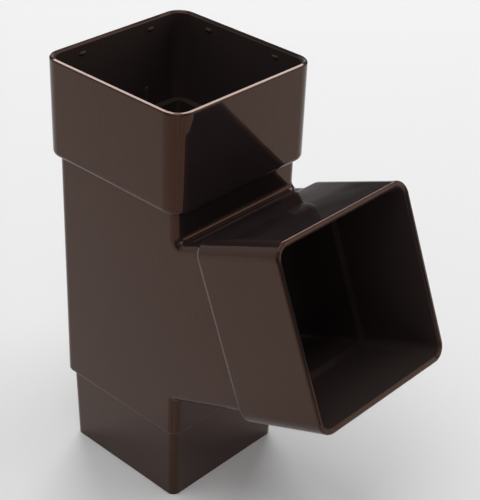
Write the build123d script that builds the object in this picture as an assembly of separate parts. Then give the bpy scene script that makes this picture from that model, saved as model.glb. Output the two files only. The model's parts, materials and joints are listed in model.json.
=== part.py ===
from build123d import *
import math
import os

# A one-piece moulded branch for square rainwater downpipe.
# The run stands on +Z with its spigot end at z = 0, and the branch rises along +X.

os.makedirs("parts", exist_ok=True)

# The pipe that the fitting joins, in mm
pipe_width = 65.0
pipe_wall = 2.0
socket_clearance = 0.6      # each side, between pipe and socket
spigot_clearance = 0.25     # each side, between spigot and the bore of the pipe

# Walls
socket_wall = 2.2
body_wall = 2.1

# The run, from the spigot end upwards
spigot_length = 32.4
spigot_taper = 0.65         # each side, over the length of the spigot
spigot_corner = 3.3
spigot_shoulder = 1.3       # height of the slope between spigot and body
spigot_ledge_rise = 1.1     # of that slope inside above the one outside, which keeps the wall even
body_corner = 3.7
branch_gap = 16.7           # from the foot of the body up to the lower root of the neck
root_gap = 11.3             # from the upper root of the neck up to the shoulder of the top socket

# The branch, along its own axis
branch_angle = 22.5         # above the horizontal
neck_gap = 9.4              # from the upper root of the neck to the shoulder of the branch socket
neck_top_step = 2.1         # from the top of the neck out to the branch socket
neck_bottom_step = 2.9      # from the bottom of the neck out to the branch socket

# The two sockets
socket_step = 3.25          # each side, from the body out to a socket
socket_depth = 36.95        # from the rim to the ledge that stops the pipe
ledge_rise = 3.9            # of the top ledge above the foot of its shoulder
branch_ledge_rise = 6.5     # of the branch ledge past the foot of its shoulder
socket_corner = 7.4
branch_corner = 6.2
shoulder_rise = 2.3         # of the slope under the top socket, before its edge is rounded
shoulder_round = 2.2
branch_shoulder = 3.9       # length of the slope behind the branch socket
branch_shoulder_round = 3.0

# The rims of the two sockets
lip_slope = 4.5             # degrees, falling outwards
lip_over = 0.5              # how far the slope runs on past the bore before that is cut
lip_round = 0.6             # outer edge of the top rim
branch_lip_round = 0.9      # outer edge of the branch rim
lip_chamfer = 0.7           # edge of the bore, to lead the pipe in

# Other edges
upper_root_round = 1.6
lower_root_round = 0.9
foot_round = 1.0            # where the body turns in towards the spigot
inner_corner_least = 0.8    # no inner corner is sharper than this
touching = 0.01             # closer than this counts as the same place

# Grip pips on the walls of the top socket, near its rim
pip_spread = 34.6           # between the two pips of a wall
pip_drop = 4.0              # below the rim
pip_length = 3.6
pip_radius = 1.0
pip_slack = 0.1             # left between a pip and the pipe

# Guide ribs low on the wall of the top socket that faces the branch
rib_spread = 30.6           # between the two ribs
rib_height = 9.5            # above the ledge
rib_radius = 1.2
rib_slack = 0.1             # left between a rib and the pipe

# Sizes that follow from those above
slope_sin = math.sin(math.radians(branch_angle))
slope_cos = math.cos(math.radians(branch_angle))
socket_bore = pipe_width + 2 * socket_clearance
socket_width = socket_bore + 2 * socket_wall
body_width = socket_width - 2 * socket_step
body_bore = body_width - 2 * body_wall
spigot_width = pipe_width - 2 * (pipe_wall + spigot_clearance)
spigot_end_width = spigot_width - 2 * spigot_taper
neck_rise = socket_width / 2 - neck_top_step        # top of the neck above the branch axis
neck_drop = socket_width / 2 - neck_bottom_step     # bottom of the neck below it
neck_middle = (neck_rise - neck_drop) / 2
neck_depth = neck_rise + neck_drop
body_bottom = spigot_length + spigot_shoulder
lower_root = body_bottom + branch_gap
branch_height = lower_root + (neck_drop - body_width / 2 * slope_sin) / slope_cos
upper_root = branch_height + (neck_rise + body_width / 2 * slope_sin) / slope_cos
body_top = upper_root + root_gap
ledge_height = body_top + ledge_rise
skirt_bottom = body_top + shoulder_rise
rim_height = ledge_height + socket_depth
lip_tan = math.tan(math.radians(lip_slope))
lip_run = socket_wall + lip_over
lip_rise = lip_run * lip_tan
lip_edge = socket_depth - socket_wall * lip_tan     # outer edge of a rim above its ledge
neck_length = (body_width / 2 + neck_rise * slope_sin) / slope_cos + neck_gap
branch_ledge = neck_length + branch_ledge_rise
skirt_start = neck_length + branch_shoulder

branch_plane = Plane(
    origin=(0, 0, branch_height),
    x_dir=(0, 1, 0),
    z_dir=(slope_cos, 0, slope_sin),
)


def inner_corner(outer, wall):
    return max(outer - wall, inner_corner_least)


def run_section(height, width, corner):
    return Pos(0, 0, height) * RectangleRounded(width, width, corner)


def branch_section(along, width, depth, corner, middle=0.0):
    return branch_plane.offset(along) * Pos(0, middle) * RectangleRounded(width, depth, corner)


def along_branch(point):
    return branch_plane.to_local_coords(point).Z


def side_point(along, above):
    # a point of the branch in the side view, as x and z
    point = branch_plane.from_local_coords((0, above, along))
    return point.X, point.Z


def level_edges(solid, height):
    return [e for e in solid.edges() if abs(e.center().Z - height) < touching]


def branch_edges(solid, along):
    return [e for e in solid.edges() if abs(along_branch(e.center()) - along) < touching]


def trunk():
    # body and neck drawn as one side view, so that each side wall is one face
    half = body_width / 2
    outline = Polyline(
        (-half, body_bottom),
        (half, body_bottom),
        (half, lower_root),
        side_point(neck_length, -neck_drop),
        side_point(neck_length, neck_rise),
        (half, upper_root),
        (half, body_top),
        (-half, body_top),
        close=True,
    )
    face = Plane.XZ * make_face(outline)
    face = fillet(root_corner(face, upper_root), upper_root_round)
    face = fillet(root_corner(face, lower_root), lower_root_round)
    block = extrude(face, amount=half, both=True)
    return fillet([e for e in block.edges() if is_side_edge(e)], body_corner)


def root_corner(face, height):
    corners = face.vertices().filter_by_position(Axis.Z, height - touching, height + touching)
    return corners.sort_by(Axis.X)[-1]


def is_side_edge(edge):
    middle = edge.center()
    on_side = abs(abs(middle.Y) - body_width / 2) < touching
    ends = (middle.Z - body_bottom, middle.Z - body_top, along_branch(middle) - neck_length)
    return on_side and min(abs(gap) for gap in ends) > touching


def top_socket():
    lower = run_section(body_top, body_width, body_corner)
    upper = run_section(skirt_bottom, socket_width, socket_corner)
    start = ledge_height + lip_edge
    socket = extrude(upper, start - skirt_bottom) + loft([lower, upper], ruled=True)
    socket = fillet(level_edges(socket, skirt_bottom), shoulder_round)
    inner = socket_width - 2 * lip_run
    lip = loft([
        run_section(start, socket_width, socket_corner),
        run_section(start + lip_rise, inner, inner_corner(socket_corner, lip_run)),
    ], ruled=True)
    return socket + lip


def branch_socket():
    neck = branch_section(neck_length, body_width, neck_depth, body_corner, neck_middle)
    mouth = branch_section(skirt_start, socket_width, socket_width, branch_corner)
    start = branch_ledge + lip_edge
    socket = extrude(mouth, start - skirt_start) + loft([neck, mouth], ruled=True)
    socket = fillet(branch_edges(socket, skirt_start), branch_shoulder_round)
    inner = socket_width - 2 * lip_run
    lip = loft([
        branch_section(start, socket_width, socket_width, branch_corner),
        branch_section(start + lip_rise, inner, inner, inner_corner(branch_corner, lip_run)),
    ], ruled=True)
    return socket + lip


def spigot():
    shoulder = loft([
        run_section(spigot_length, spigot_width, spigot_corner),
        run_section(body_bottom, body_width, body_corner),
    ], ruled=True)
    tube = loft([
        run_section(0, spigot_end_width, spigot_corner),
        run_section(spigot_length, spigot_width, spigot_corner),
    ], ruled=True)
    return shoulder + tube


def run_bore():
    corner = inner_corner(body_corner, body_wall)
    end_corner = inner_corner(spigot_corner, body_wall)
    spigot_bore = spigot_width - 2 * body_wall
    taper_bottom = spigot_length + spigot_ledge_rise
    taper_top = body_bottom + spigot_ledge_rise
    lower = loft([
        run_section(0, spigot_end_width - 2 * body_wall, end_corner),
        run_section(taper_bottom, spigot_bore, end_corner),
    ], ruled=True)
    taper = loft([
        run_section(taper_bottom, spigot_bore, end_corner),
        run_section(taper_top, body_bore, corner),
    ], ruled=True)
    middle = extrude(run_section(taper_top, body_bore, corner), ledge_height - taper_top)
    rim_corner = inner_corner(socket_corner, socket_wall)
    upper = extrude(run_section(ledge_height, socket_bore, rim_corner), socket_depth + lip_over)
    return lower + taper + middle + upper


def branch_bore():
    corner = inner_corner(body_corner, body_wall)
    depth = neck_depth - 2 * body_wall
    passage = extrude(branch_section(0, body_bore, depth, corner, neck_middle), branch_ledge)
    mouth_corner = inner_corner(branch_corner, socket_wall)
    section = branch_section(branch_ledge, socket_bore, socket_bore, mouth_corner)
    mouth = extrude(section, socket_depth + lip_over)
    return passage + mouth


def grip_pips():
    # two short ridges on each wall of the top socket
    reach = socket_bore / 2 - socket_clearance + pip_slack + pip_radius
    bar = Rot(90, 0, 0) * Cylinder(pip_radius, pip_length - 2 * pip_radius)
    ends = [Pos(0, side * (pip_length / 2 - pip_radius), 0) * Sphere(pip_radius) for side in (-1, 1)]
    pip = bar + ends
    pips = []
    for quarter in range(4):
        for side in (-1, 1):
            place = Pos(reach, side * pip_spread / 2, rim_height - pip_drop)
            pips.append(Rot(0, 0, 90 * quarter) * place * pip)
    return pips


def guide_ribs():
    # two upright ridges with a domed top, on the wall that faces the branch
    reach = socket_bore / 2 - socket_clearance + rib_slack + rib_radius
    stem = rib_height - rib_radius
    rib = Pos(0, 0, stem / 2) * Cylinder(rib_radius, stem) + Pos(0, 0, stem) * Sphere(rib_radius)
    return [Pos(-reach, side * rib_spread / 2, ledge_height) * rib for side in (-1, 1)]


def branch_fitting():
    outside = trunk() + top_socket() + branch_socket() + spigot()
    outside = fillet(level_edges(outside, body_bottom), foot_round)
    shell = outside - run_bore() - branch_bore()
    shell = fillet(level_edges(shell, ledge_height + lip_edge), lip_round)
    shell = fillet(branch_edges(shell, branch_ledge + lip_edge), branch_lip_round)
    rims = level_edges(shell, rim_height) + branch_edges(shell, branch_ledge + socket_depth)
    shell = chamfer(rims, lip_chamfer)
    return shell + grip_pips() + guide_ribs()


part = branch_fitting().clean()
part.label = "branch_fitting"
export_step(part, "parts/branch_fitting.step")
print("volume", round(part.volume / 1000, 2), "cm3, solids", len(part.solids()))
print("centre", [round(c, 2) for c in part.center(CenterOf.MASS)])
print("box", part.bounding_box().min, part.bounding_box().max)
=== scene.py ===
import json
import math

import bpy
import bmesh
from mathutils import Matrix, Vector

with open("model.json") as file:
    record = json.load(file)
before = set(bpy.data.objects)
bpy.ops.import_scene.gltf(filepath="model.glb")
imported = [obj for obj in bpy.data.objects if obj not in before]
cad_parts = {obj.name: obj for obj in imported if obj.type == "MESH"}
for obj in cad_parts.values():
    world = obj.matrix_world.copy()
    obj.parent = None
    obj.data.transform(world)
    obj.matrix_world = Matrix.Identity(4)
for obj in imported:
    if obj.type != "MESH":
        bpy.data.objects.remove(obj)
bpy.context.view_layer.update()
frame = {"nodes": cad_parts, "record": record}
scene = bpy.context.scene
print("frame loaded")

mmPerMetre = 1000
mixFirst, mixSecond, mixResult = 6, 7, 2  # a colour Mix node's two colours and its result, by socket


def hexColour(code):  # sRGB hex to linear, as every colour below is written
    parts = [int(code[i:i + 2], 16) / 255 for i in (0, 2, 4)]
    linear = [p / 12.92 if p <= 0.04045 else ((p + 0.055) / 1.055) ** 2.4 for p in parts]
    return (*linear, 1.0)


def addNode(tree, kind, settings=None, links=None):  # sockets go by name or by number
    node = tree.nodes.new(kind)
    for name, value in (settings or {}).items():
        if isinstance(name, int) or name in node.inputs:
            node.inputs[name].default_value = value
        else:
            setattr(node, name, value)
    for name, source in (links or {}).items():
        tree.links.new(source, node.inputs[name])
    return node


def newMaterial(name):
    material = bpy.data.materials.new(name)
    material.use_nodes = True
    material.node_tree.nodes.clear()
    return material, material.node_tree


# Brown rigid PVC, injection moulded against a polished tool: a dark body with a wet-looking gloss,
# broken only by a slow ripple of the walls and a little handling haze. The bores, formed by plain
# cores, are a duller satin that shows no clear reflections. They are also painted a lighter brown:
# painted light that brightens the shade inside them
pvc = {
    # The lighter brown of the bores is painted light, brightening the shade inside them
    "brown": "2c2526", "brownDeep": "272021", "boreBrownPaintedLight": "383131",
    "ior": 1.53, "tint": "ffb284",
    "roughness": (0.04, 0.08), "insideRoughness": 0.4,  # the second is added on to it in the bores
    "mottleMm": 9.0, "mottleDetail": 3.0,
    "rippleMm": 26.0, "rippleDetail": 1.0, "rippleRiseMm": 0.4, "rippleStrength": 0.25,
}
# The bore behind each socket, in metres from its rim: half widths that fall inside the walls
bores = {
    "halfSocket": 0.0333, "halfBody": 0.0312, "ledge": 0.0371,
    "depth": {"top_socket": 0.139, "branch_socket": 0.076},
}
mounts = {mount["name"]: mount for mount in frame["record"]["mounts"]}


# The bore mask places both the bores' duller satin and their painted light
def boreSatinAndPaintedLightMask(tree, place, name):  # 1 on the walls of the bore behind one socket, 0 elsewhere
    mount = mounts[name]
    turn = Vector((0, 0, 1)).rotation_difference(Vector(mount["axis"])).to_euler()
    local = addNode(tree, "ShaderNodeMapping",
                    {"vector_type": "TEXTURE", "Location": mount["pos_m"], "Rotation": turn},
                    {"Vector": place})
    x, y, z = addNode(tree, "ShaderNodeSeparateXYZ", None, {"Vector": local.outputs["Vector"]}).outputs
    across = addNode(tree, "ShaderNodeMath", {"operation": "ABSOLUTE"}, {0: x})
    upright = addNode(tree, "ShaderNodeMath", {"operation": "ABSOLUTE"}, {0: y})
    reach = addNode(tree, "ShaderNodeMath", {"operation": "MAXIMUM"},
                    {0: across.outputs[0], 1: upright.outputs[0]})
    inSocket = addNode(tree, "ShaderNodeMath", {"operation": "GREATER_THAN", 1: -bores["ledge"]}, {0: z})
    ledgeWidth = bores["halfSocket"] - bores["halfBody"]
    limit = addNode(tree, "ShaderNodeMath",
                    {"operation": "MULTIPLY_ADD", 1: ledgeWidth, 2: bores["halfBody"]},
                    {0: inSocket.outputs[0]})
    within = addNode(tree, "ShaderNodeMath", {"operation": "LESS_THAN"},
                     {0: reach.outputs[0], 1: limit.outputs[0]})
    beforeEnd = addNode(tree, "ShaderNodeMath",
                        {"operation": "GREATER_THAN", 1: -bores["depth"][name]}, {0: z})
    return addNode(tree, "ShaderNodeMath", {"operation": "MULTIPLY"},
                   {0: within.outputs[0], 1: beforeEnd.outputs[0]})


def makePvc():
    material, tree = newMaterial("uPVC_brown_gloss_moulded")
    place = addNode(tree, "ShaderNodeTexCoord").outputs["Object"]
    mottle = addNode(tree, "ShaderNodeTexNoise",
                     {"Scale": mmPerMetre / pvc["mottleMm"], "Detail": pvc["mottleDetail"]},
                     {"Vector": place})
    colour = addNode(tree, "ShaderNodeMix",
                     {"data_type": "RGBA", mixFirst: hexColour(pvc["brown"]),
                      mixSecond: hexColour(pvc["brownDeep"])},
                     {0: mottle.outputs["Fac"]})
    haze = addNode(tree, "ShaderNodeMapRange",
                   {"To Min": pvc["roughness"][0], "To Max": pvc["roughness"][1]},
                   {"Value": mottle.outputs["Fac"]})
    masks = [boreSatinAndPaintedLightMask(tree, place, name).outputs[0] for name in bores["depth"]]
    inside = addNode(tree, "ShaderNodeMath", {"operation": "MAXIMUM"},
                     {0: masks[0], 1: masks[1]}).outputs[0]
    # In the bores the colour turns to the lighter brown, painted light over their shade
    colourWithPaintedBoreLight = addNode(tree, "ShaderNodeMix",
                    {"data_type": "RGBA", mixSecond: hexColour(pvc["boreBrownPaintedLight"])},
                    {0: inside, mixFirst: colour.outputs[mixResult]})
    dull = addNode(tree, "ShaderNodeMath", {"operation": "MULTIPLY_ADD", 1: pvc["insideRoughness"]},
                   {0: inside, 2: haze.outputs["Result"]})
    ripple = addNode(tree, "ShaderNodeTexNoise",
                     {"Scale": mmPerMetre / pvc["rippleMm"], "Detail": pvc["rippleDetail"]},
                     {"Vector": place})
    wave = addNode(tree, "ShaderNodeBump",
                   {"Strength": pvc["rippleStrength"], "Distance": pvc["rippleRiseMm"] / mmPerMetre},
                   {"Height": ripple.outputs["Fac"]})
    surface = addNode(tree, "ShaderNodeBsdfPrincipled",
                      {"IOR": pvc["ior"], "Specular Tint": hexColour(pvc["tint"])},
                      {"Base Color": colourWithPaintedBoreLight.outputs[mixResult], "Roughness": dull.outputs[0],
                       "Normal": wave.outputs["Normal"]})
    addNode(tree, "ShaderNodeOutputMaterial", None, {"Surface": surface.outputs["BSDF"]})
    return material


fitting = frame["nodes"]["branch_fitting"]
fitting.data.materials.clear()
fitting.data.materials.append(makePvc())
print("moulding finished")

# Pale paper floor, a plain dull white sheet, in metres
floorSheet = {"colour": "fafafa", "halfWidth": 3.0, "drop": 0.0002}


def makeFloor():
    material, tree = newMaterial("paper_white_matt")
    surface = addNode(tree, "ShaderNodeBsdfDiffuse", {"Color": hexColour(floorSheet["colour"])})
    addNode(tree, "ShaderNodeOutputMaterial", None, {"Surface": surface.outputs["BSDF"]})
    sheet = bmesh.new()
    bmesh.ops.create_grid(sheet, x_segments=1, y_segments=1, size=floorSheet["halfWidth"])
    bmesh.ops.translate(sheet, verts=sheet.verts, vec=(0, 0, -floorSheet["drop"]))
    mesh = bpy.data.meshes.new("floor")
    sheet.to_mesh(mesh)
    sheet.free()
    mesh.materials.append(material)
    floor = bpy.data.objects.new("floor", mesh)
    scene.collection.objects.link(floor)


makeFloor()
print("floor laid")

# Studio: softboxes behind, overhead and to both sides, a weak one over the camera, and a grey room.
# Angles are in degrees and lengths in metres, and a glow of 1 is white
studio = {
    "aim": (0.02, 0.0, 0.09),
    "softboxes": {
        "back": {"azimuth": 135, "elevation": 40, "far": 2.2, "size": (1.36, 0.8), "glow": 5.4},
        "right": {"azimuth": 50, "elevation": 28, "far": 2.2, "size": (2.3, 1.9), "glow": 1.05},
        "top": {"azimuth": 270, "elevation": 80, "far": 2.4, "size": (1.8, 1.8), "glow": 2.2},
        "left": {"azimuth": 212, "elevation": 22, "far": 2.6, "size": (2.8, 2.2), "glow": 0.6},
        "fill": {"azimuth": 300, "elevation": 48, "far": 3.0, "size": (2.6, 2.0), "glow": 0.4},
    },
    "roomLow": "3c3c3c", "roomHigh": "6c6c6c",
}


def hangSoftbox(name, spec):
    azimuth, elevation = math.radians(spec["azimuth"]), math.radians(spec["elevation"])
    away = Vector((math.cos(azimuth) * math.cos(elevation), math.sin(azimuth) * math.cos(elevation),
                   math.sin(elevation)))
    lamp = bpy.data.lights.new(name, "AREA")
    lamp.shape = "RECTANGLE"
    lamp.size, lamp.size_y = spec["size"]
    lamp.energy = spec["glow"] * math.pi * lamp.size * lamp.size_y
    holder = bpy.data.objects.new(name, lamp)
    holder.location = Vector(studio["aim"]) + away * spec["far"]
    holder.rotation_euler = away.to_track_quat("Z", "Y").to_euler()
    scene.collection.objects.link(holder)


for side, spec in studio["softboxes"].items():
    hangSoftbox(side + "Softbox", spec)


def makeRoom():  # a plain room that is lighter overhead than at the horizon
    room = bpy.data.worlds.new("room")
    room.use_nodes = True
    tree = room.node_tree
    tree.nodes.clear()
    height = addNode(tree, "ShaderNodeSeparateXYZ", None,
                     {"Vector": addNode(tree, "ShaderNodeTexCoord").outputs["Generated"]})
    tone = addNode(tree, "ShaderNodeMix",
                   {"data_type": "RGBA", mixFirst: hexColour(studio["roomLow"]),
                    mixSecond: hexColour(studio["roomHigh"])},
                   {0: height.outputs["Z"]})
    glow = addNode(tree, "ShaderNodeBackground", None, {"Color": tone.outputs[mixResult]})
    addNode(tree, "ShaderNodeOutputWorld", None, {"Surface": glow.outputs["Background"]})
    scene.world = room


makeRoom()
scene.view_settings.view_transform = "Standard"
print("studio lit")

# The camera with the photograph's view: its place in metres, its own axes and its lens in mm
view = {
    "eye": (0.318760, -0.316598, 0.370464),
    "right": (0.72788, 0.68480, 0.03511),
    "up": (-0.38281, 0.36335, 0.84937),
    "back": (0.56890, -0.63168, 0.52662),
    "lens": 96.29, "nearest": 0.01,
}
camera = bpy.data.objects.new("camera", bpy.data.cameras.new("camera"))
camera.data.lens = view["lens"]
camera.data.clip_start = view["nearest"]
axes = Matrix((view["right"], view["up"], view["back"])).transposed()
camera.matrix_world = Matrix.Translation(view["eye"]) @ axes.to_4x4()
scene.collection.objects.link(camera)
scene.camera = camera
print("camera set")
